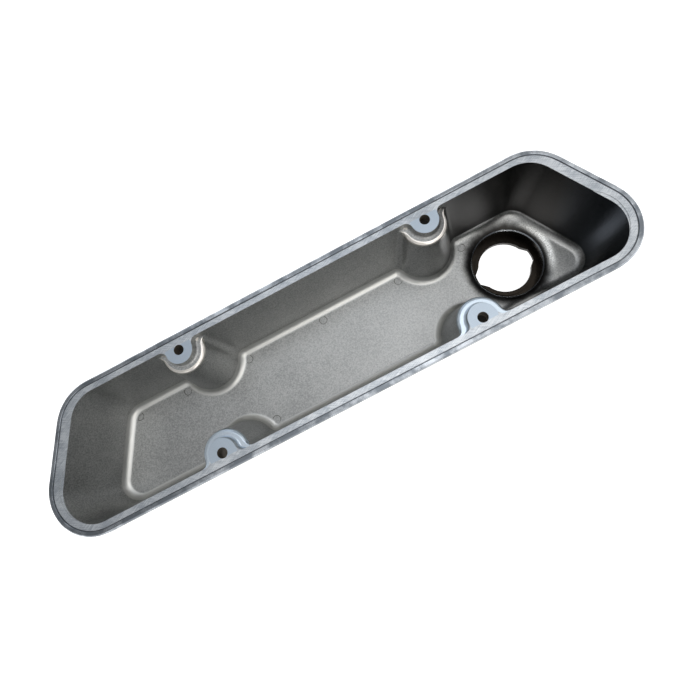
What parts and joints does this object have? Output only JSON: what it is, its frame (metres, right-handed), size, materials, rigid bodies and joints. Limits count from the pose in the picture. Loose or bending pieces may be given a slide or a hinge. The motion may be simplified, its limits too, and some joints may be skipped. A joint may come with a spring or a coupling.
{
  "type": "engine valve cover",
  "caption": "Long die-cast engine valve cover with leaning ends, a flat sealing rail, bolt bosses in its long walls and a bayonet oil filler neck in the roof.",
  "frame": {"origin": "centre of the four bolt holes, in the plane of the sealing face", "axes": "+Z out of the open side, towards the cylinder head; +X along the cover, towards the oil filler; +Y across it, towards the shorter long edge"},
  "size_m": [0.5348, 0.125, 0.0909],
  "materials": {
    "cast_aluminium": "blasted die casting, sealing rail and bolt tabs machined"
  },
  "bodies": {
    "root": {"valve_cover": "cast_aluminium"}
  },
  "joints": []
}
